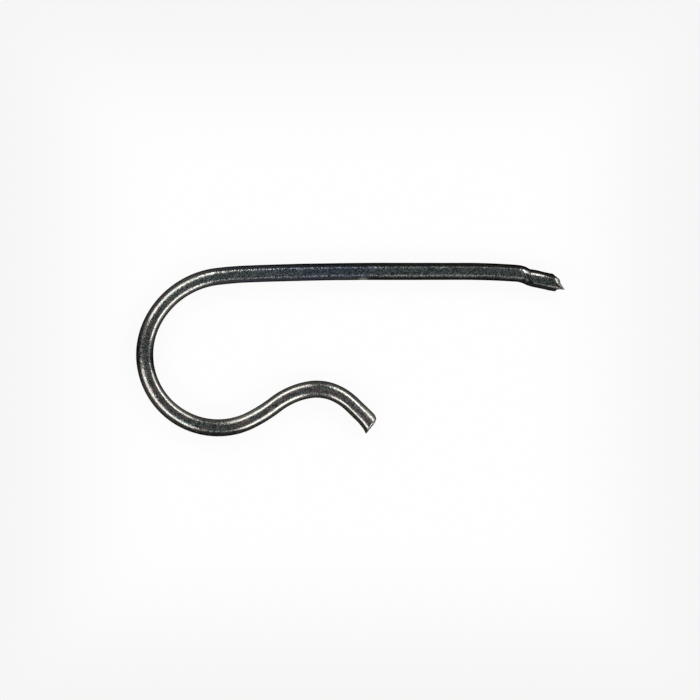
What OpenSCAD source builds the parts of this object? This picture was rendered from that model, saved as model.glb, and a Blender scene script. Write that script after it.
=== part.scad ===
// A yoke spring for a watch's winding and setting work, bent from one length of round steel wire.
// It has a long arm that presses on the yoke, an open loop, and a hooked foot.
// Sizes are in millimetres and degrees, and every bend radius is to the middle of the wire.
// The spring lies flat on z = 0, with the origin under the centre of the loop and the arm along +X.

/* [Wire] */
// Diameter of the wire
wire_d = 0.25; // [0.15:0.01:0.3]

/* [Loop] */
// Bend radius of the loop
loop_r = 1.07; // [0.8:0.01:1.4]
// Angle that the loop turns through
loop_angle = 145.7; // [130:0.1:160]

/* [Neck between loop and arm] */
// Bend radius of the neck
neck_r = 1.23; // [0.8:0.01:1.8]
// Angle that the neck turns through
neck_angle = 53.6; // [40:0.1:65]
// Bend radius of the shoulder, where the neck eases into the arm
shoulder_r = 5.4; // [3:0.1:8]
// Angle that the shoulder turns through
shoulder_angle = 4.7; // [2:0.1:8]

/* [Arm] */
// Radius of the slight bow in the first part of the arm
bow_r = 48; // [30:1:60]
// Angle that the bow turns through
bow_angle = 2.3; // [0.5:0.1:4]
// Length of the straight part
arm_length = 1.25; // [0.5:0.05:3]
// Bend radius of the droop near the end
droop_r = 10; // [5:0.5:20]
// Angle that the droop turns through
droop_angle = 4.4; // [1:0.1:8]

/* [Dent near the end of the arm] */
// Bend radius where the cutter pushed the wire aside
dent_r = 0.36; // [0.3:0.01:0.6]
// Angle of that bend
dent_angle = 21; // [5:1:30]
// Bend radius where the wire turns back
recover_r = 0.44; // [0.3:0.01:0.6]
// Angle that it turns back
recover_angle = 13.2; // [5:0.1:20]

/* [Hook] */
// Bend radius where the loop runs out towards the hook
runout_r = 2.2; // [1:0.05:4]
// Angle that the run-out turns through
runout_angle = 11.4; // [5:0.1:20]
// Bend radius of the rise, which bends the other way
rise_r = 1.1; // [0.6:0.05:2]
// Angle that the rise turns back through
rise_angle = 27.5; // [15:0.1:35]
// Bend radius of the crest
crest_r = 0.68; // [0.4:0.01:1]
// Angle that the crest turns through
crest_angle = 36; // [25:1:45]
// Bend radius where the crest eases into the foot
ankle_r = 0.82; // [0.5:0.01:1.5]
// Angle of that easing
ankle_angle = 18.5; // [10:0.1:25]

/* [Cut ends] */
// Straight wire at the end of the arm, out to the point of its burr
tip_length = 0.5; // [0.35:0.01:0.8]
// Straight wire of the foot, out to its cut
foot_length = 0.46; // [0.35:0.01:0.8]

/* [Hidden] */
$fn = 48;
steel_colour = [0.22, 0.22, 0.23];

// Thickness of the burr on the foot
burr_t = 0.35 * wire_d;
// Core through each joint between two stretches, well inside the wire
core_d = 0.5 * wire_d;
core_l = 0.08 * wire_d;

// The angles of the arm set where the loop begins, so that the arm's straight part lies along X.
loop_start = 90 + neck_angle + shoulder_angle + bow_angle;
loop_end = loop_start + loop_angle;

// A stretch of wire is [bend radius, angle], with left bends positive, or [length, 0] where it is straight.
arm_run = [
    [neck_r, -neck_angle],
    [shoulder_r, -shoulder_angle],
    [bow_r, -bow_angle],
    [arm_length, 0],
    [droop_r, -droop_angle],
    [dent_r, -dent_angle],
    [recover_r, recover_angle]
];
hook_run = [
    [runout_r, runout_angle],
    [rise_r, -rise_angle],
    [crest_r, -crest_angle],
    [ankle_r, -ankle_angle]
];

// A place on the wire is [x, y, heading].
arm_from = [loop_r * cos(loop_start), loop_r * sin(loop_start), loop_start - 90];
hook_from = [loop_r * cos(loop_end), loop_r * sin(loop_end), loop_end + 90];

// The cut ends, seen from above, in wire diameters back from the end and up from the middle of the wire.
tip_cut = [
    [-0.90, 0.6],
    [-0.76, 0.43],
    [-0.42, 0.25],
    [-0.32, 0.02],
    [-0.07, -0.23],
    [0, -0.29],
    [-0.10, -0.32],
    [-0.30, -0.31],
    [-0.44, -0.36],
    [-0.58, -0.6]
];
foot_cut = [
    [-0.44, 0.6],
    [-0.18, 0.43],
    [-0.10, 0.2],
    [0, -0.7]
];
foot_burr = [
    [-0.38, -0.4],
    [-0.10, -0.62],
    [0.1, -0.62],
    [0.1, -0.4]
];

// The place where a stretch ends that begins at another place
function stretch_end(at, s) =
    s[1] == 0
        ? at + s[0] * [cos(at.z), sin(at.z), 0]
        : let (r = sign(s[1]) * s[0], to = at.z + s[1])
            [at.x + r * (sin(to) - sin(at.z)), at.y - r * (cos(to) - cos(at.z)), to];

// The place after the first n stretches of a run
function run_place(from, run, n) = n == 0 ? from : stretch_end(run_place(from, run, n - 1), run[n - 1]);

// Puts its children at a point in the plane of the wire. The move has a round part and a small rest,
// which keeps every joint between two stretches exact.
module at_point(p) {
    near = [round(p.x * 1000), round(p.y * 1000)] / 1000;
    translate([near.x, near.y, wire_d / 2])
        translate([p.x - near.x, p.y - near.y, 0])
            children();
}

module bend(centre, r, start, angle)
    at_point(centre)
        rotate_extrude(angle = angle, start = start)
            translate([r, 0])
                circle(d = wire_d);

module straight(length)
    rotate([0, 90, 0])
        cylinder(d = wire_d, h = length);

module stretch(at, s) {
    r = sign(s[1]) * s[0];
    if (s[1] == 0)
        at_point(at)
            rotate([0, 0, at.z])
                straight(s[0]);
    else
        bend([at.x - r * sin(at.z), at.y + r * cos(at.z)], s[0], at.z - 90 + (s[1] < 0 ? 180 + s[1] : 0), abs(s[1]));
}

// Joins the stretches that meet at a place into one solid, whatever their sizes
module core(at)
    at_point(at)
        rotate([0, 90, at.z])
            cylinder(d = core_d, h = core_l, center = true);

module run_of_wire(from, run) {
    for (n = [0:len(run) - 1])
        stretch(run_place(from, run, n), run[n]);
    for (n = [0:len(run)])
        core(run_place(from, run, n));
}

// A straight end along +X, trimmed to the outline of its cut, with a burr on one side
module cut_end(length, cut, burr = []) {
    behind = [[-wire_d, -wire_d], [-wire_d, wire_d]];
    ahead = [for (p = cut) [length, 0] + wire_d * p];
    intersection() {
        union() {
            straight(length + wire_d);
            if (len(burr) > 0)
                translate([length, 0, 0])
                    linear_extrude(height = burr_t, center = true)
                        polygon(wire_d * burr);
        }
        linear_extrude(height = 2 * wire_d, center = true)
            polygon(concat(behind, ahead));
    }
}

module free_end(from, run, length, cut, burr = []) {
    at = run_place(from, run, len(run));
    at_point(at)
        rotate([0, 0, at.z])
            cut_end(length, cut, burr);
}

module yoke_spring()
    color(steel_colour) {
        bend([0, 0], loop_r, loop_start, loop_angle);
        run_of_wire(arm_from, arm_run);
        run_of_wire(hook_from, hook_run);
        free_end(arm_from, arm_run, tip_length, tip_cut);
        free_end(hook_from, hook_run, foot_length, foot_cut, foot_burr);
    }

yoke_spring();
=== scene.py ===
"""Looks for the watch yoke spring: one dark drawn steel wire, seen from straight above.

The wire is swept again along the same bends as the CAD part, with its grain, the dent near the arm's end
and both sheared ends in the mesh. Lengths are in millimetres until the mesh is made, and angles round the
wire are in radians. A place on the wire says how far it is along the wire from the foot's end, how far to
the left of the wire's middle line, and how far above it. The left is the outside of the loop and the arm's
upper side in the view.
"""

import math

import bpy
import numpy as np
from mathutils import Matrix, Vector


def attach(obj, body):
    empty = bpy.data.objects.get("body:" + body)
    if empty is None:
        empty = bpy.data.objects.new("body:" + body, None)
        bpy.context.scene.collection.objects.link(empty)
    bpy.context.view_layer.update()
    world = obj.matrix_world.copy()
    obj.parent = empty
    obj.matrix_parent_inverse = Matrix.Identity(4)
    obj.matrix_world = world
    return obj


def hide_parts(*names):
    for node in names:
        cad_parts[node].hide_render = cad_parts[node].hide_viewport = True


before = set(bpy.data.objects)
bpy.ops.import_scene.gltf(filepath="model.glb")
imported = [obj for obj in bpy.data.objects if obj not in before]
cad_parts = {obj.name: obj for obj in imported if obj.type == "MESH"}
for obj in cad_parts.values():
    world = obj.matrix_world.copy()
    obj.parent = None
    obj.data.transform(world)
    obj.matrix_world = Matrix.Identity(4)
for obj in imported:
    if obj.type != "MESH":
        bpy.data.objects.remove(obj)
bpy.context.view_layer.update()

MM = 0.001

# The photograph looks straight down, and its frame is 10.234 mm wide at the wire.
VIEW_WIDTH = 10.234 * MM
VIEW_AT = (1.9316 * MM, 0.0678 * MM)

# The wire's route

WIRE_D = 0.25
WIRE_R = WIRE_D / 2
FOOT_LENGTH = 0.46
TIP_LENGTH = 0.5
LOOP = (1.07, -145.7)

# From the foot's end to the arm's end: (bend radius, angle), left bends positive, or (length, 0). These are
# foot, ankle, crest, rise, run-out, loop, neck, shoulder, bow, straight arm, droop, dent, recovery and tip.
ROUTE = [
    (FOOT_LENGTH, 0),
    (0.82, 18.5),
    (0.68, 36),
    (1.1, 27.5),
    (2.2, -11.4),
    LOOP,
    (1.23, -53.6),
    (5.4, -4.7),
    (48, -2.3),
    (1.25, 0),
    (10, -4.4),
    (0.36, -21),
    (0.44, 13.2),
    (TIP_LENGTH, 0),
]

# The heading at the foot's end that lays the straight part of the arm along X
FIRST_HEADING = 135.7

# How far apart the places are that the route is walked by, and over what length each bend eases in and out
WALK_STEP = 0.002
EASING = 0.03


def walk(step):
    """Places a step apart on the wire's middle line: length so far, x, y and heading.

    x and y are counted from the loop's centre."""
    lengths = [size * math.radians(abs(turn)) if turn else size for size, turn in ROUTE]
    total = sum(lengths)
    along = np.linspace(0, total, int(total / step) + 1)
    xs, ys, headings = np.empty_like(along), np.empty_like(along), np.empty_like(along)
    x, y, heading = 0.0, 0.0, math.radians(FIRST_HEADING)
    begin = 0.0
    for (size, turn), length in zip(ROUTE, lengths):
        here = (along >= begin - 1e-12) & (along <= begin + length + 1e-9)
        part = along[here] - begin
        if turn:
            r = math.copysign(size, turn)
            if (size, turn) == LOOP:
                centre = (x - r * math.sin(heading), y + r * math.cos(heading))
            headings[here] = heading + part / r
            xs[here] = x + r * (np.sin(headings[here]) - math.sin(heading))
            ys[here] = y - r * (np.cos(headings[here]) - math.cos(heading))
            to = heading + length / r
            x, y = x + r * (math.sin(to) - math.sin(heading)), y - r * (math.cos(to) - math.cos(heading))
            heading = to
        else:
            headings[here] = heading
            xs[here] = x + part * math.cos(heading)
            ys[here] = y + part * math.sin(heading)
            x, y = x + length * math.cos(heading), y + length * math.sin(heading)
        begin += length
    return along, xs - centre[0], ys - centre[1], headings


PATH, PATH_X, PATH_Y, path_heading = walk(WALK_STEP)
TOTAL = PATH[-1]


def smooth(values, sigma):
    """Values along the path, each blended with its neighbours."""
    step = PATH[1] - PATH[0]
    n = int(4 * sigma / step)
    weights = np.exp(-0.5 * (np.arange(-n, n + 1) * step / sigma) ** 2)
    weights /= weights.sum()
    padded = np.concatenate([np.full(n, values[0]), values, np.full(n, values[-1])])
    return np.convolve(padded, weights, mode="valid")


def bell(x, middle, width):
    return np.exp(-0.5 * ((x - middle) / width) ** 2)


def climb(x, low, high):
    """A straight rise from 0 at low to 1 at high."""
    return np.interp(x, [low, high], [0, 1])


def turn_from(angle, middle):
    """How far an angle is from a middle, the shorter way round the wire. Only the middle is in degrees."""
    return np.abs((angle - math.radians(middle) + math.pi) % (2 * math.pi) - math.pi)


PATH_HEADING = smooth(path_heading, EASING)

# The loop and the neck, where bending squeezed the wire thicker on the inside of the bend
TIGHT_BEND = 0.75
LOOP_FROM, NECK_TO = 2.65, 6.5
turns_tightly = (np.gradient(PATH_HEADING, PATH) < -TIGHT_BEND) & (PATH > LOOP_FROM) & (PATH < NECK_TO)
SQUEEZED = smooth(np.where(turns_tightly, 1.0, 0.0), 0.2)
SQUEEZE = 1.5
INNER_SQUEEZE = 12
INNER_SQUEEZE_AT = (3.75, 0.6)

# The foot's last part, which the shear pushed towards its burr, after a slight lean the other way
FOOT_LEAN, FOOT_LEAN_FROM = 0.003, 0.7
FOOT_PUSH, FOOT_PUSH_FROM = 0.026, 0.24


def place(along, left, up):
    """Points in space for places on the wire, none of them below the surface that the spring lies on."""
    x, y, heading = (np.interp(along, PATH, values) for values in (PATH_X, PATH_Y, PATH_HEADING))
    inner = INNER_SQUEEZE * bell(along, *INNER_SQUEEZE_AT) * np.minimum(left, 0) ** 2
    up = up * (1 - np.interp(along, PATH, SQUEEZED) * (SQUEEZE * left - inner))
    left = left - FOOT_LEAN * np.clip(1 - along / FOOT_LEAN_FROM, 0, 1)
    left = left + FOOT_PUSH * np.clip(1 - along / FOOT_PUSH_FROM, 0, 1) ** 2
    return np.stack([x - left * np.sin(heading), y + left * np.cos(heading), np.maximum(up + WIRE_R, 0)], -1)


# Unevenness of the drawn surface

AROUND = 80
ANGLES = np.arange(AROUND) * 2 * math.pi / AROUND
FIELD_ALONG, FIELD_AROUND = 2048, 160


def field(length, width, seed):
    """Smooth noise over the wire's surface, unit spread: length along the wire and width round it, in mm."""
    rng = np.random.default_rng(seed)
    waves = np.fft.rfft2(rng.standard_normal((FIELD_ALONG, FIELD_AROUND)))
    per_mm_along = np.fft.fftfreq(FIELD_ALONG, TOTAL / FIELD_ALONG)[:, None]
    per_mm_around = np.fft.rfftfreq(FIELD_AROUND, 2 * math.pi * WIRE_R / FIELD_AROUND)[None, :]
    fade_along = -0.5 * (2 * math.pi * per_mm_along * length) ** 2
    fade_around = -0.5 * (2 * math.pi * per_mm_around * width) ** 2
    out = np.fft.irfft2(waves * np.exp(fade_along + fade_around), (FIELD_ALONG, FIELD_AROUND))
    return out / out.std()


def read(values, along, angle):
    """A field's value at places along the wire and round it."""
    a = np.clip(along / TOTAL, 0, 0.9999) * (FIELD_ALONG - 1)
    b = (angle / (2 * math.pi)) % 1 * FIELD_AROUND
    i, j = a.astype(int), b.astype(int)
    a, b = a - i, b - j
    j, k = j % FIELD_AROUND, (j + 1) % FIELD_AROUND
    near = (1 - b) * values[i, j] + b * values[i, k]
    far = (1 - b) * values[i + 1, j] + b * values[i + 1, k]
    return (1 - a) * near + a * far


WAVES = field(0.16, 0.12, 11)
DIE_LINES = field(0.45, 0.004, 12)
GRAIN = field(0.010, 0.005, 13)
CUT_ROUGH = field(0.02, 0.012, 14)

# The mean radius and the waves in shares of the CAD wire's radius, and how deep the lines and the grain are
MEAN_RADIUS = 1.010
WAVE_SHARE = 0.004
DIE_LINE_DEPTH = 0.00022
GRAIN_DEPTH = 0.00015

# The dent near the arm's end: on its left, and shallower and wider on its right
DENT_AT = TOTAL - TIP_LENGTH - 0.09
DENT_DEPTH, DENT_WIDTH = 0.006, 0.07
DENT_BACK_AT, DENT_BACK_DEPTH, DENT_BACK_WIDTH = DENT_AT - 0.03, 0.003, 0.14

# A small bright nick in the arm's lower side, nearest to this point seen from above
NICK_X, NICK_Y = 2.122, 1.18
NICK_AT = float(PATH[np.argmin(np.hypot(PATH_X - NICK_X, PATH_Y - NICK_Y))])
NICK_DEPTH, NICK_WIDTH = 0.003, 0.035
NICK_ANGLE, NICK_SPREAD = 168, 0.30

# How deep the cutter's jaw pressed the wire from above: (before the arm's end, depth)
PRESS = [
    (0.645, 0),
    (0.585, 0.0130),
    (0.542, 0.0040),
    (0.445, 0.0200),
    (0.340, 0.0290),
    (0.260, 0.0275),
    (0.110, 0.0070),
]
press_depth = np.interp(PATH, [TOTAL - before for before, _ in PRESS], [depth for _, depth in PRESS])
PRESSED = smooth(press_depth, 0.006)
PRESS_ANGLE, PRESS_SPREAD = 76, 1.15

# How much wider the wire is beside the press marks and at the foot's cut, and how much narrower on the right
# at the arm's end, each with how far from the end it begins. On the arm both set in over the same length.
TIP_SWELL, TIP_SWELL_FROM = 0.009, 0.56
FOOT_SWELL, FOOT_SWELL_FROM = 0.008, 0.22
TIP_SHRINK, TIP_SHRINK_FROM = 0.008, 0.24
TIP_SET_IN = 0.1

# The burr that the shear pushed out on the foot's left: how far it stands out, how long it is, how far beyond
# the end it would be full, by what power it rises, and how wide it is in radians
BURR = 0.012
BURR_LENGTH, BURR_BEYOND = 0.095, 0.004
BURR_POWER = 1.4
BURR_SPREAD = 0.28


def radius(along, angle):
    """The wire's radius at a place on its surface. The angle is 0 on the left and a right angle on top."""
    sides = np.cos(angle) ** 2
    left = np.clip(np.cos(angle), 0, 1) ** 2
    right = np.clip(-np.cos(angle), 0, 1) ** 2
    r = WIRE_R * (MEAN_RADIUS + WAVE_SHARE * read(WAVES, along, angle))
    r += DIE_LINE_DEPTH * read(DIE_LINES, along, angle) + GRAIN_DEPTH * read(GRAIN, along, angle)
    r -= DENT_DEPTH * bell(along, DENT_AT, DENT_WIDTH) * left
    r -= DENT_BACK_DEPTH * bell(along, DENT_BACK_AT, DENT_BACK_WIDTH) * right
    r -= NICK_DEPTH * bell(along, NICK_AT, NICK_WIDTH) * bell(turn_from(angle, NICK_ANGLE), 0, NICK_SPREAD)
    r += TIP_SWELL * np.clip((along - TOTAL + TIP_SWELL_FROM) / TIP_SET_IN, 0, 1) * sides
    r += FOOT_SWELL * np.clip(1 - along / FOOT_SWELL_FROM, 0, 1) * sides
    r -= TIP_SHRINK * np.clip((along - TOTAL + TIP_SHRINK_FROM) / TIP_SET_IN, 0, 1) * right
    r -= np.interp(along, PATH, PRESSED) * bell(turn_from(angle, PRESS_ANGLE), 0, PRESS_SPREAD)
    near_cut = np.clip(1 - (along + BURR_BEYOND) / BURR_LENGTH, 0, 1) ** BURR_POWER
    return r + BURR * near_cut * bell(turn_from(angle, 0), 0, BURR_SPREAD)


# Painted shade that darkens the flanks, and the crown between them, painted lighter or darker in places

# Where they differ from their usual look: (middle along the wire, width, amount)
OUTER_LIGHT = [
    (1.5, 0.25, 0.026),
    (3.7, 0.20, 0.014),
    (5.5, 0.45, 0.022),
    (4.30, 0.24, -0.019),
    (2.70, 0.25, -0.015),
]
INNER_LIGHT = [
    (0.1, 0.2, 0.040),
    (1.3, 0.2, 0.015),
    (2.1, 0.2, 0.050),
    (3.4, 0.25, 0.058),
    (4.20, 0.18, -0.045),
    (7.1, 0.70, -0.018),
]
OUTER_REACH = [(0.38, 0.18, 0.014), (3.1, 0.2, 0.004)]
INNER_REACH = [(0.1, 0.15, -0.012), (3.55, 0.15, -0.004)]
# First two lists: rougher places where the crown is painted darker and the painted flank shade reaches
# higher, dimming the highlights. Last: where the crest's grain is more open.
OUTER_DULL_AND_SHADE = [(2.62, 0.17, 0.5), (4.32, 0.18, 1.0)]
INNER_DULL_AND_SHADE = [(2.62, 0.17, 0.5), (2.88, 0.12, 0.6), (4.24, 0.16, 1.0)]
CREST_DULL = [(0.93, 0.12, 0.7)]
# Painted light and shade on the crown: lighter or darker in these places
CROWN = [(6.75, 0.35, 0.14), (7.85, 0.25, -0.13), (5.2, 0.4, 0.05)]
INNER_CROWN = [(5.1, 0.4, 0.08)]
TOP_CROWN = [(5.1, 0.25, -0.24)]

# How light the painted flank shade usually is outside and inside the loop and on the arm,
# and where it changes over
OUTER_USUAL, INNER_USUAL, ARM_USUAL = 0.029, 0.062, 0.018
OUTER_CHANGE, INNER_CHANGE = (6.4, 7.6), (7.9, 8.3)

# Along the loop the painted flank shade reaches higher outside and less high inside. It does so fully
# between the middle two of these places, and not at all beyond the outer two.
CURL = [1.9, 2.3, 5.7, 6.1]

# Over what width the outer side's values pass into the inner side's
SIDES_MEET = 0.02


def spots(along, listed):
    return sum(amount * bell(along, middle, width) for middle, width, amount in listed)


def blend(share, ones, others):
    return share * ones + (1 - share) * others


def skin(along, left):
    """The painted flank shade and the crown beside it: how much higher the shade reaches and how light it
    is, how bright the crown is painted, and how far its grain is open and dull."""
    outer = np.clip(0.5 + left / SIDES_MEET, 0, 1)
    curl = np.interp(along, CURL, [0, 1, 1, 0])
    # Dull places: rougher, and darker by painted shade on the crown and the flanks
    dull = blend(outer, spots(along, OUTER_DULL_AND_SHADE), spots(along, INNER_DULL_AND_SHADE))

    # How much higher the painted flank shade reaches on each side
    outer_reach = 0.012 * curl + 0.006 * dull + spots(along, OUTER_REACH)
    inner_reach = -0.010 * curl + 0.012 * dull + spots(along, INNER_REACH)
    reach = blend(outer, outer_reach, inner_reach)

    # How light the painted flank shade is on each side
    outer_light = blend(climb(along, *OUTER_CHANGE), ARM_USUAL, OUTER_USUAL + spots(along, OUTER_LIGHT))
    inner_light = blend(climb(along, *INNER_CHANGE), ARM_USUAL, INNER_USUAL + spots(along, INNER_LIGHT))
    light = blend(outer, outer_light, inner_light)

    on_foot = 1 - climb(along, 2.1, 2.5)
    near_tip = climb(along, TOTAL - 0.70, TOTAL - 0.62)
    on_tip = climb(along, TOTAL - 0.26, TOTAL - 0.18)
    top = 1 - climb(np.abs(left), 0.030, 0.045)
    # The crown's lightness, painted lighter or darker along the wire to set how bright its highlights are
    crown = 1 - 0.2 * dull + 0.09 * on_foot - 0.14 * near_tip + spots(along, CROWN)
    crown += (1 - outer) * (spots(along, INNER_CROWN) - 0.3 * on_tip)
    crown += top * (0.30 * (1 - climb(along, 2.1, 2.4)) + spots(along, TOP_CROWN))

    open_grain = np.clip(2.2 * dull - 0.2, 0, 1) + spots(along, CREST_DULL)
    return np.stack([reach, light, crown, open_grain], -1)


# The sheared ends

# Their outlines seen from above, in wire diameters: (from the middle towards the arm's left or the foot's
# right, how far beyond the end)
TIP_CUT = [
    (-0.60, -0.58),
    (-0.36, -0.45),
    (-0.31, -0.30),
    (-0.295, -0.10),
    (-0.275, 0.0),
    (-0.22, -0.07),
    (0.02, -0.32),
    (0.25, -0.42),
    (0.43, -0.76),
    (0.60, -0.90),
]
TIP_CUT_BELOW = [(-0.6, -0.58), (-0.36, -0.30), (-0.23, -0.17), (0.02, -0.32), (0.6, -0.9)]
FOOT_CUT = [(-0.58, 0.0), (0.27, -0.10), (0.466, -0.18), (0.60, -0.44)]


def outline(cut, across):
    places, back = zip(*cut)
    return WIRE_D * np.interp(across / WIRE_D, places, back)


class Tip:
    """The arm's end. Its burr is pointed near the top of the wire and blunt below."""

    side = 1
    steps = 36
    start = TOTAL - 0.34
    edge = 0.020 + 0.058 * bell(turn_from(ANGLES, 72), 0, 0.50)
    fading = 4

    @staticmethod
    def stop(left, up):
        full = outline(TIP_CUT, left)
        blunt = np.minimum(full, outline(TIP_CUT_BELOW, left))
        pointed = np.clip((up / WIRE_R + 0.5) / 0.7, 0, 1)
        return TOTAL + blunt + (full - blunt) * pointed


class Foot:
    """The foot's end, cut a little askew in both directions."""

    side = -1
    steps = 26
    start = 0.20
    edge = 0.005 + 0.026 * (1 - bell(turn_from(ANGLES, 0), 0, 0.35))
    fading = 1.8

    @staticmethod
    def stop(left, up):
        return -outline(FOOT_CUT, -left) + 0.006 * (up / WIRE_R + 1)


# Rings over the rounded edge and in towards the middle, and how rough the cut is and over how many rings
# the roughness sets in. The radius depends on the place, so each ring is set in a few rounds.
EDGE_STEPS = 5
FACE_STEPS = 14
CUT_DEPTH = 0.0022
ROUGH_SET_IN = 3
ROUNDS = 3


def end_rings(end):
    """Rings from the plain wire out to a cut, over its rounded edge and in towards its middle.

    A ring is how far its vertices are along, to the left and up, and what share of the cut's look it has.
    The cut's middle comes after the rings."""
    rings = []
    for k in range(1, end.steps + 1):
        along = np.full(AROUND, end.start)
        for _ in range(ROUNDS):
            r = radius(along, ANGLES)
            stop = end.stop(r * np.cos(ANGLES), r * np.sin(ANGLES)) - end.side * end.edge
            along = end.start + k / end.steps * (stop - end.start)
        r = radius(along, ANGLES)
        rings.append((along, r * np.cos(ANGLES), r * np.sin(ANGLES), 0.0))
    rim = r
    for k in range(1, EDGE_STEPS + 1):
        round_edge = math.radians(90 * k / EDGE_STEPS)
        r = rim - end.edge * (1 - math.cos(round_edge))
        left, up = r * np.cos(ANGLES), r * np.sin(ANGLES)
        along = end.stop(left, up) - end.side * end.edge * (1 - math.sin(round_edge))
        rings.append((along, left, up, (k / EDGE_STEPS) ** end.fading))
    face = r
    for k in range(1, FACE_STEPS):
        r = face * (1 - k / FACE_STEPS)
        left, up = r * np.cos(ANGLES), r * np.sin(ANGLES)
        rough = CUT_DEPTH * read(CUT_ROUGH, 3 + 6 * left, 3 + 12 * up)
        rings.append((end.stop(left, up) + end.side * rough * min(1, k / ROUGH_SET_IN), left, up, 1.0))
    middle = float(end.stop(np.zeros(1), np.zeros(1))[0])
    return rings, (middle, 0.0, 0.0, 1.0)


# The mesh

BODY_RINGS = 960


def body_rings():
    for along in np.linspace(Foot.start, Tip.start, BODY_RINGS):
        along = np.full(AROUND, along)
        r = radius(along, ANGLES)
        yield along, r * np.cos(ANGLES), r * np.sin(ANGLES), 0.0


foot_rings, foot_middle = end_rings(Foot)
tip_rings, tip_middle = end_rings(Tip)
rings = foot_rings[::-1] + list(body_rings()) + tip_rings
count = len(rings)
places = np.stack([np.stack([*where, np.full(AROUND, share)], -1) for *where, share in rings])
flat = np.concatenate([places.reshape(-1, 4), [foot_middle, tip_middle]])
ALONG_AT, LEFT_AT, UP_AT, CUT_AT = flat.T


def wire_faces():
    """Squares between neighbouring rings, and a fan of triangles in the middle of each end."""
    ring, column = np.meshgrid(np.arange(count - 1), np.arange(AROUND), indexing="ij")
    beside = (column + 1) % AROUND
    here, there = ring * AROUND, (ring + 1) * AROUND
    squares = np.stack([here + column, here + beside, there + beside, there + column], -1).reshape(-1, 4)
    last = (count - 1) * AROUND
    fans = [[count * AROUND, (j + 1) % AROUND, j] for j in range(AROUND)]
    fans += [[count * AROUND + 1, last + j, last + (j + 1) % AROUND] for j in range(AROUND)]
    return squares.tolist() + fans


# The texture map has four strips along the wire, one above the other, and a disc for each end.
STRIPS = 4
STRIP_HEIGHT = 0.215
MARGIN = 0.01
DISC_RINGS = 18
DISC_Y = 0.955
DISC_RADIUS = 0.036
FOOT_DISC_X, TIP_DISC_X = 0.08, 0.22


def disc_place(middle_x, left, up):
    return middle_x + left / WIRE_R * DISC_RADIUS, DISC_Y + up / WIRE_R * DISC_RADIUS


def texture_map():
    """Where each face's corners are on the map, in the order of the faces."""
    ring, column = np.meshgrid(np.arange(count - 1), np.arange(AROUND), indexing="ij")
    first, last = DISC_RINGS, count - 1 - DISC_RINGS
    per_strip = (last - first) / STRIPS
    strip = np.clip(((ring - first) / per_strip).astype(int), 0, STRIPS - 1)
    on_body = (ring >= first) & (ring < last)
    disc_x = np.where(ring < first, FOOT_DISC_X, TIP_DISC_X)
    corners = []
    for ring_step, column_step in ((0, 0), (0, 1), (1, 1), (1, 0)):
        left, up = places[ring + ring_step, (column + column_step) % AROUND, 1:3].transpose(2, 0, 1)
        x = (ring + ring_step - first - strip * per_strip) / per_strip * (1 - 2 * MARGIN) + MARGIN
        y = (column + column_step) / AROUND * STRIP_HEIGHT + MARGIN + strip * (STRIP_HEIGHT + MARGIN)
        on_disc = disc_place(disc_x, left, up)
        corners.append(np.stack([np.where(on_body, x, on_disc[0]), np.where(on_body, y, on_disc[1])], -1))
    fans = []
    for ring_at, middle_x, order in ((0, FOOT_DISC_X, (1, 0)), (-1, TIP_DISC_X, (0, 1))):
        for j in range(AROUND):
            fans.append((middle_x, DISC_Y))
            fans += [disc_place(middle_x, *places[ring_at, (j + k) % AROUND, 1:3]) for k in order]
    return np.concatenate([np.stack(corners, 2).reshape(-1, 2), fans])


def add_attribute(mesh, name, kind, values):
    attribute = mesh.attributes.new(name, kind, "POINT")
    attribute.data.foreach_set("value" if kind == "FLOAT" else "vector", values.astype(np.float32).ravel())


mesh = bpy.data.meshes.new("yoke_spring_wire")
mesh.from_pydata((place(ALONG_AT, LEFT_AT, UP_AT) * MM).tolist(), [], wire_faces())
mesh.update()
mesh.polygons.foreach_set("use_smooth", [True] * len(mesh.polygons))

# What the material reads: places on the straightened wire, its painted flank shade and crown lightness, its
# grain, and where it is cut
painted_light_and_shade_at = skin(ALONG_AT, LEFT_AT)
add_attribute(mesh, "wire_co", "FLOAT_VECTOR", flat[:, :3])
add_attribute(mesh, "skin", "FLOAT_VECTOR", painted_light_and_shade_at[:, :3])
add_attribute(mesh, "dull", "FLOAT", painted_light_and_shade_at[:, 3])
add_attribute(mesh, "cut", "FLOAT", CUT_AT)
uv = mesh.uv_layers.new(name="OFBake")
uv.uv.foreach_set("vector", texture_map().astype(np.float32).ravel())

wire = bpy.data.objects.new("yoke_spring_wire", mesh)
bpy.context.scene.collection.objects.link(wire)

# Materials


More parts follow.
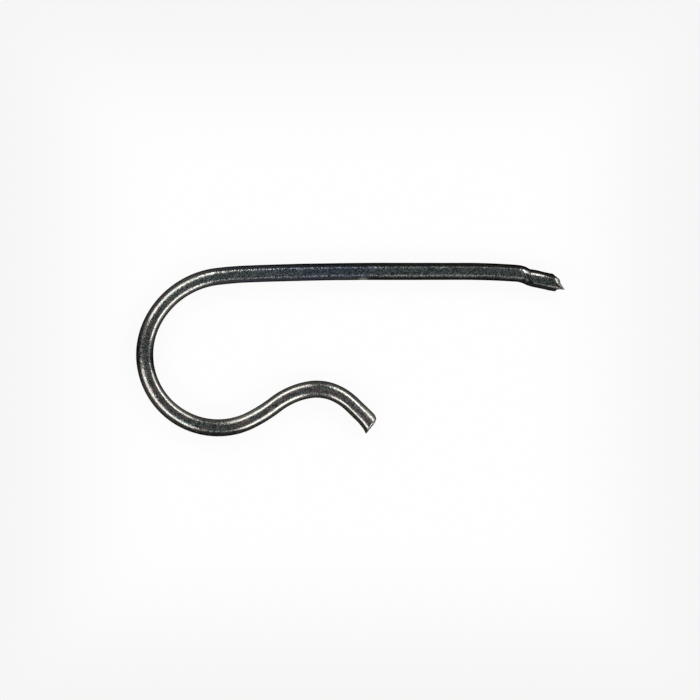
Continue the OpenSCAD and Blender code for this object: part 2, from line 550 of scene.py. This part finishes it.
class Nodes:
    """A node tree, with short calls for adding and joining nodes. A colour is red, green and blue."""

    def __init__(self, tree):
        self.tree = tree

    def add(self, kind, **settings):
        node = self.tree.nodes.new(kind)
        for key, value in settings.items():
            setattr(node, key, value)
        return node

    def join(self, source, target):
        self.tree.links.new(source, target)

    def put(self, socket, value):
        if isinstance(value, bpy.types.NodeSocket):
            self.join(value, socket)
        else:
            socket.default_value = (*value, 1) if isinstance(value, tuple) else value

    def math(self, operation, a, b=0.0, c=0.0):
        node = self.add("ShaderNodeMath", operation=operation)
        for socket, value in zip(node.inputs, (a, b, c)):
            self.put(socket, value)
        return node.outputs[0]

    def total(self, first, *others):
        for other in others:
            first = self.math("ADD", first, other)
        return first

    def times(self, first, *others):
        for other in others:
            first = self.math("MULTIPLY", first, other)
        return first

    def span(self, value, low, high, to_low=0.0, to_high=1.0, kind="SMOOTHSTEP"):
        """Takes values from low to high over to the range from to_low to to_high, and no further."""
        node = self.add("ShaderNodeMapRange", interpolation_type=kind)
        for socket, given in zip(node.inputs, (value, low, high, to_low, to_high)):
            self.put(socket, given)
        return node.outputs[0]

    def mix(self, share, a, b):
        node = self.add("ShaderNodeMix", data_type="RGBA")
        self.put(node.inputs[0], share)
        self.put(node.inputs[6], a)
        self.put(node.inputs[7], b)
        return node.outputs[2]

    def mix_shaders(self, share, a, b):
        node = self.add("ShaderNodeMixShader")
        for socket, source in zip(node.inputs, (share, a, b)):
            self.join(source, socket)
        return node.outputs[0]

    def attribute(self, name, output="Fac"):
        return self.add("ShaderNodeAttribute", attribute_name=name).outputs[output]

    def split(self, vector):
        node = self.add("ShaderNodeSeparateXYZ")
        self.join(vector, node.inputs[0])
        return node.outputs

    def moved(self, at, scale, seed):
        node = self.add("ShaderNodeMapping")
        node.inputs["Location"].default_value = (seed, seed * 1.7, seed * 0.6)
        node.inputs["Scale"].default_value = scale
        node.inputs["Rotation"].default_value = (0.6, 0.8, 1.0)
        self.join(at, node.inputs["Vector"])
        return node.outputs[0]

    def noise(self, at, scale, detail, roughness, seed):
        node = self.add("ShaderNodeTexNoise", noise_dimensions="3D")
        self.join(self.moved(at, scale, seed), node.inputs["Vector"])
        node.inputs["Scale"].default_value = 1.0
        node.inputs["Detail"].default_value = detail
        node.inputs["Roughness"].default_value = roughness
        return node.outputs[0]

    def grains(self, at, scale, seed):
        """A random shade for each small grain of the metal."""
        node = self.add("ShaderNodeTexVoronoi", voronoi_dimensions="3D", feature="F1")
        self.join(self.moved(at, scale, seed), node.inputs["Vector"])
        node.inputs["Scale"].default_value = 1.0
        shade = self.add("ShaderNodeSeparateColor")
        self.join(node.outputs["Color"], shade.inputs[0])
        return shade.outputs[0]

    def seen(self):
        """1 for camera rays and for rays that were mirrored or let through, 0 for scattered ones."""
        path = self.add("ShaderNodeLightPath").outputs
        mirrored = self.math("MAXIMUM", path["Is Glossy Ray"], path["Is Transmission Ray"])
        return self.math("MAXIMUM", path["Is Camera Ray"], mirrored)


def new_material(name):
    material = bpy.data.materials.new(name)
    material.use_nodes = True
    return material


# Crowns: two even shades on the arm, two tints elsewhere, plain metal beside them, and the blued stretch
EVEN = ((0.625, 0.657, 0.662), (0.632, 0.646, 0.642))
TINTED = ((0.540, 0.676, 0.638), (0.775, 0.598, 0.592))
PLAIN = (0.654, 0.640, 0.608)
BLUED = (0.545, 0.605, 0.780)
PIT = (0.02, 0.022, 0.022)
PIT_SHARE = 0.97

# Painted shade on the flanks: where it is darkest, two shades where it is lighter, and the blued stretch
DARKEST_PAINTED_SHADE = (0.0, 0.001, 0.001)
LIGHTER_PAINTED_SHADE = ((0.188, 0.206, 0.190), (0.226, 0.192, 0.176))
BLUED_PAINTED_SHADE = (0.190, 0.197, 0.240)

# Sheared metal and how far it covers the cuts, and bare metal on the burr and in the nick
TIP_CUT_COLOUR = (0.17, 0.165, 0.16)
FOOT_CUT_COLOUR = (0.060, 0.060, 0.057)
CUT_SHARE = 0.75
BARE = (0.44, 0.43, 0.41)

# The share of the lighter painted shade's colour for each unit of the lightness in the mesh
PAINTED_SHADE_GAIN = 5.0

# Where along the wire something sets in: (where it begins, where it is full)
ARM = (5.2, 6.2)
NEAR_TIP = (TOTAL - 0.75, TOTAL - 0.62)
PLAIN_TIP = (TOTAL - 0.24, TOTAL - 0.14)
EVEN_UP_TO = (TOTAL - 0.50, TOTAL - 0.70)
BLUED_FROM, BLUED_TO = (6.3, 7.2), (8.7, 7.9)
# Where the blue tint of the painted flank shade sets in
BLUED_SHADE_FROM, BLUED_SHADE_TO = (5.8, 6.4), (8.3, 7.3)
TIP_BURR = (TOTAL - 0.125, TOTAL - 0.085)

# The same for distances from the wire's middle line, seen from above
TOP_EDGE = (0.030, 0.045)
PLAIN_EDGE = (0.036, 0.050)
# Where the painted flank shade sets in
PAINTED_SHADE_EDGE = (0.074, 0.092)

# How much of the grain is rubbed smooth: on top, and beside it on the hook and loop, the arm and its end
TOP_RUBBED = 0.35
LOOP_RUBBED, ARM_RUBBED, TIP_RUBBED = 0.80, 0.2, 0.6

# How much of the crown's colour shows: in the grain, by its shade and a power, and where it is rubbed smooth
SHADES_SHOWN, SHOWN_POWER = (0.30, 0.79), 1.48
RUBBED_SHOWN = 0.38

# Near the dent the painted flank shade reaches higher on the arm's lower side, painted shade over a highlight
# there
DENT_SHADE_AT, DENT_SHADE = TOTAL - 0.55, 0.030

# The nick's bare metal: half its length, how high its middle is, and half its height
NICK_HALF_LENGTH, NICK_UP, NICK_HALF_HEIGHT = 0.085, 0.048, 0.046


class Steel(Nodes):
    """Dark drawn spring steel: grain drawn out along the wire, painted shade on the flanks, and painted light
    and shade on the crowns.
    """

    def __init__(self, tree):
        super().__init__(tree)
        at = self.attribute("wire_co", "Vector")
        self.along, self.left, self.up = self.split(at)
        self.reach, self.light, self.crown_light = self.split(self.attribute("skin", "Vector"))
        self.cut = self.attribute("cut")
        self.dull = self.attribute("dull")
        self.off_middle = self.math("ABSOLUTE", self.left)
        self.on_arm = self.span(self.along, *ARM)
        self.near_tip = self.span(self.along, *NEAR_TIP)
        self.grain = self.noise(at, (44, 52, 52), detail=3, roughness=0.6, seed=3.1)
        self.fine = self.noise(at, (58, 66, 66), detail=1, roughness=0.5, seed=9.2)
        self.specks = self.grains(at, (66, 74, 74), seed=2.7)
        self.lines = self.noise(at, (2.2, 60, 60), detail=2, roughness=0.5, seed=7.4)
        self.patches = self.noise(at, (3.0, 5.0, 5.0), detail=3, roughness=0.6, seed=1.3)
        self.tints = self.noise(at, (1.1, 2.5, 2.5), detail=2, roughness=0.5, seed=5.9)
        self.flecks = self.noise(at, (2.6, 24, 24), detail=2, roughness=0.6, seed=4.4)

    def crown(self):
        """The colour of the metal on the crown."""
        even = self.mix(self.span(self.tints, 0.35, 0.65), *EVEN)
        tinted = self.mix(self.span(self.flecks, 0.38, 0.62), *TINTED)
        plain = self.span(self.off_middle, *PLAIN_EDGE)
        plain = self.math("MAXIMUM", plain, self.span(self.along, *PLAIN_TIP))
        tinted = self.mix(plain, tinted, PLAIN)
        evenly = self.times(self.on_arm, self.span(self.along, *EVEN_UP_TO))
        blue = self.times(self.span(self.along, *BLUED_FROM), self.span(self.along, *BLUED_TO))
        blue = self.times(blue, self.span(self.tints, 0.25, 0.6, 0.5, 1.0))
        return self.mix(blue, self.mix(evenly, tinted, even), BLUED)

    def shine(self):
        """How much of the crown's colour shows between the pits of the grain, scaled by the crown's painted
        lightness.
        """
        open_grain = self.total(self.times(self.lines, 0.08), self.times(self.specks, 0.80))
        open_grain = self.total(self.times(self.grain, 0.12), open_grain)
        open_grain = self.math("POWER", self.span(open_grain, *SHADES_SHOWN, kind="LINEAR"), SHOWN_POWER)
        grainy = self.math("MAXIMUM", self.on_arm, self.dull)
        rubbed = self.span(grainy, 0, 1, LOOP_RUBBED, ARM_RUBBED)
        rubbed = self.math("MAXIMUM", rubbed, self.times(self.near_tip, TIP_RUBBED))
        rubbed = self.span(self.off_middle, *TOP_EDGE, TOP_RUBBED, rubbed)
        open_grain = self.times(open_grain, self.math("SUBTRACT", 1.0, rubbed))
        return self.times(self.total(open_grain, self.times(rubbed, RUBBED_SHOWN)), self.crown_light)

    def flank(self):
        """How far a place is covered by the painted flank shade."""
        side = self.total(self.off_middle, self.span(self.lines, 0.3, 0.7, -0.004, 0.004))
        # On the arm the painted flank shade reaches higher, and higher still on the upper side
        arm_left = self.span(self.near_tip, 0, 1, 0.014, 0.012)
        higher = self.times(self.on_arm, self.span(self.left, -0.01, 0.01, 0.004, arm_left))
        higher = self.total(higher, self.reach)
        # Painted shade: near the dent the flank shade reaches higher on the lower side
        from_dent = self.math("ABSOLUTE", self.math("SUBTRACT", self.along, DENT_SHADE_AT))
        dent_shade = self.span(from_dent, 0.10, 0.05, 0.0, DENT_SHADE)
        higher = self.total(higher, self.times(dent_shade, self.span(self.left, -0.02, -0.04)))
        whole = self.span(self.grain, 0.45, 0.65, 1.0, self.span(self.on_arm, 0, 1, 0.85, 0.94))
        return self.times(self.span(self.total(side, higher), *PAINTED_SHADE_EDGE), whole)

    def skin(self):
        """The colour of the painted flank shade."""
        pale = self.mix(self.span(self.flecks, 0.38, 0.62), *LIGHTER_PAINTED_SHADE)
        blue = self.times(self.span(self.along, *BLUED_SHADE_FROM), self.span(self.along, *BLUED_SHADE_TO))
        return self.mix(self.times(self.light, PAINTED_SHADE_GAIN), DARKEST_PAINTED_SHADE, self.mix(blue, pale, BLUED_PAINTED_SHADE))

    def bare(self):
        """Where the metal is bare: on the burr at the arm's end and in the nick."""
        burr = self.times(self.span(self.along, *TIP_BURR), self.span(self.left, -0.030, -0.050), self.cut)
        nick_along = self.math("DIVIDE", self.math("SUBTRACT", self.along, NICK_AT), NICK_HALF_LENGTH)
        nick_up = self.math("DIVIDE", self.math("SUBTRACT", self.up, NICK_UP), NICK_HALF_HEIGHT)
        nick = self.total(self.math("POWER", nick_along, 2.0), self.math("POWER", nick_up, 2.0))
        nick = self.span(self.total(nick, self.span(self.grain, 0.3, 0.7, -0.4, 0.4)), 1.2, 0.5)
        nick = self.times(nick, self.span(self.left, 0.0, -0.09))
        return self.math("MAXIMUM", burr, self.times(nick, self.span(self.grain, 0.4, 0.6, 0.20, 0.45)))

    def roughness(self, bare):
        rough = self.span(self.patches, 0.3, 0.7, 0.16, 0.21)
        rough = self.total(rough, self.span(self.fine, 0.3, 0.7, -0.02, 0.03))
        rough = self.total(rough, self.total(self.times(self.cut, 0.16), self.times(bare, 0.25)))
        rough = self.total(rough, self.span(self.reach, -0.004, -0.010, 0.0, 0.035))
        return self.total(rough, self.times(self.dull, 0.07))

    def relief(self):
        """How high the grain stands, shallower where the wire is rubbed."""
        height = self.total(self.times(self.lines, 0.1), self.times(self.fine, 0.7))
        height = self.total(self.times(self.grain, 0.2), height)
        return self.times(height, self.total(self.span(self.on_arm, 0, 1, 0.4, 1.0), self.dull))


def drawn_steel():
    material = new_material("drawn_spring_steel")
    n = Steel(material.node_tree)
    shader = n.tree.nodes["Principled BSDF"].inputs

    crown = n.crown()
    speckled = n.mix(n.shine(), n.mix(PIT_SHARE, crown, PIT), crown)
    # The flanks are covered with painted shade
    surface = n.mix(n.flank(), speckled, n.skin())
    sheared = n.mix(n.span(n.along, 0.5, 0.3), TIP_CUT_COLOUR, FOOT_CUT_COLOUR)
    surface = n.mix(n.times(n.cut, CUT_SHARE), surface, sheared)
    bare = n.bare()
    n.join(n.mix(bare, surface, BARE), shader["Base Color"])
    n.join(n.roughness(bare), shader["Roughness"])

    bump = n.add("ShaderNodeBump")
    bump.inputs["Strength"].default_value = 1.0
    bump.inputs["Distance"].default_value = 0.002 * MM
    n.join(n.relief(), bump.inputs["Height"])
    n.join(bump.outputs[0], shader["Normal"])

    shader["Metallic"].default_value = 1.0
    shader["Specular Tint"].default_value = (0.1, 0.1, 0.1, 1)
    shader["Anisotropic"].default_value = 0.75
    shader["Anisotropic Rotation"].default_value = 0.25
    tangent = n.add("ShaderNodeTangent", direction_type="UV_MAP", uv_map="OFBake")
    n.join(tangent.outputs[0], shader["Tangent"])
    return material


# The floor's own colour and the glow that the camera sees, near the spring and far from it. Both are painted
# darker far out, a painted pool of light round the spring.
FLOOR_NEAR, FLOOR_FAR = (0.83, 0.83, 0.85), (0.76, 0.76, 0.775)
GLOW_NEAR, GLOW_FAR = (1.0, 1.0, 1.0), (0.925, 0.925, 0.925)
GLOW_SHARE = 0.92


def pale_floor():
    """A pale sheet that glows for the camera and for what mirrors it, so that its shadows stay faint. It is
    painted lighter round the spring and darker further out, a painted pool of light.
    """
    material = new_material("pale_floor")
    n = Nodes(material.node_tree)
    shader = n.tree.nodes["Principled BSDF"]
    x, y, _ = n.split(n.add("ShaderNodeTexCoord").outputs["Object"])
    x_off = n.math("ABSOLUTE", n.math("SUBTRACT", x, VIEW_AT[0]))
    y_off = n.math("ABSOLUTE", n.math("SUBTRACT", y, VIEW_AT[1]))
    # Painted pool of light: the floor and its glow get darker away from the spring
    far = n.span(n.math("SMOOTH_MAX", x_off, y_off, 0.001), 2.6 * MM, 5.4 * MM)
    n.join(n.mix(far, FLOOR_NEAR, FLOOR_FAR), shader.inputs["Base Color"])
    shader.inputs["Roughness"].default_value = 0.9
    shader.inputs["Specular IOR Level"].default_value = 0.1
    glow = n.add("ShaderNodeEmission")
    n.join(n.mix(far, GLOW_NEAR, GLOW_FAR), glow.inputs["Color"])
    glow.inputs["Strength"].default_value = 1.0
    surface = n.mix_shaders(n.times(n.seen(), GLOW_SHARE), shader.outputs[0], glow.outputs[0])
    n.join(surface, n.tree.nodes["Material Output"].inputs["Surface"])
    return material


mesh.materials.append(drawn_steel())
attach(wire, "root")
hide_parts("yoke_spring")

# Floor, camera and light

FLOOR_HALF = 0.6
FLOOR_BELOW = 0.0008 * MM
floor_mesh = bpy.data.meshes.new("floor")
floor_corners = [(x * FLOOR_HALF, y * FLOOR_HALF, 0) for x, y in ((-1, -1), (1, -1), (1, 1), (-1, 1))]
floor_mesh.from_pydata(floor_corners, [], [(0, 1, 2, 3)])
floor_mesh.materials.append(pale_floor())
floor = bpy.data.objects.new("floor", floor_mesh)
floor.location = (0, 0, -FLOOR_BELOW)
bpy.context.scene.collection.objects.link(floor)

camera = bpy.data.cameras.new("camera")
camera.type = "PERSP"
camera.lens = 200
camera.sensor_width = 36
camera.clip_start = 0.002
camera.clip_end = 5
camera_object = bpy.data.objects.new("camera", camera)
away = VIEW_WIDTH / 2 / (camera.sensor_width / 2 / camera.lens)
camera_object.location = (*VIEW_AT, WIRE_R * MM + away)
bpy.context.scene.collection.objects.link(camera_object)
bpy.context.scene.camera = camera_object

LAMP_COLOUR = (1.0, 0.98, 0.94)
LAMP_DISTANCE = 1.0

# Soft boxes: (name, direction in degrees, width in metres, how bright the face is, where 1 is white)
BOXES = [
    ("soft_box_upper_left", 127, 0.91, 4.3),
    ("soft_box_lower_left", 219.5, 1.02, 4.2),
    ("soft_box_lower_right", 315.7, 1.05, 5.2),
    ("soft_box_upper_right", 41.7, 1.02, 5.4),
]
BOX_HEIGHT, BOX_ELEVATION = 0.36, 31.5

# Dimmer strips between the boxes: (direction, brightness)
STRIP_LAMPS = [(85, 0.5), (174, 0.6), (269.5, 0.68), (0.5, 0.6)]
STRIP_SIZE, STRIP_ELEVATION = (0.45, 0.20), 33


def lamp(name, azimuth, elevation, size, strength):
    """A soft box or strip that faces the spring, and that the camera doesn't see."""
    data = bpy.data.lights.new(name, "AREA")
    data.shape = "RECTANGLE"
    data.size, data.size_y = size
    data.energy = strength * math.pi * size[0] * size[1]
    data.color = LAMP_COLOUR
    a, e = math.radians(azimuth), math.radians(elevation)
    to = Vector((math.cos(a) * math.cos(e), math.sin(a) * math.cos(e), math.sin(e)))
    holder = bpy.data.objects.new(name, data)
    holder.location = to * LAMP_DISTANCE + Vector((*VIEW_AT, 0))
    holder.rotation_mode = "QUATERNION"
    holder.rotation_quaternion = to.to_track_quat("Z", "Y")
    holder.visible_camera = False
    bpy.context.scene.collection.objects.link(holder)


for name, azimuth, wide, strength in BOXES:
    lamp(name, azimuth, BOX_ELEVATION, (wide, BOX_HEIGHT), strength)
for azimuth, strength in STRIP_LAMPS:
    lamp("soft_strip_" + str(int(azimuth)), azimuth, STRIP_ELEVATION, STRIP_SIZE, strength)


ROOM_COLOUR, ROOM_STRENGTH = (0.90, 1.02, 1.05), 0.145
BACKDROP = (0.90, 0.90, 0.90)


def studio():
    """A dim room, with a pale backdrop low down all round for the camera and for what mirrors it."""
    world = bpy.data.worlds.new("studio")
    bpy.context.scene.world = world
    world.use_nodes = True
    n = Nodes(world.node_tree)
    room = n.tree.nodes["Background"]
    n.put(room.inputs["Color"], ROOM_COLOUR)
    n.put(room.inputs["Strength"], ROOM_STRENGTH)
    backdrop = n.add("ShaderNodeBackground")
    n.put(backdrop.inputs["Color"], BACKDROP)
    direction = n.split(n.add("ShaderNodeTexCoord").outputs["Generated"])
    low = n.span(direction[2], 0.20, 0.10, kind="LINEAR")
    sky = n.mix_shaders(n.times(low, n.seen()), room.outputs[0], backdrop.outputs[0])
    n.join(sky, n.tree.nodes["World Output"].inputs["Surface"])


studio()

bpy.context.scene.view_settings.view_transform = "Standard"
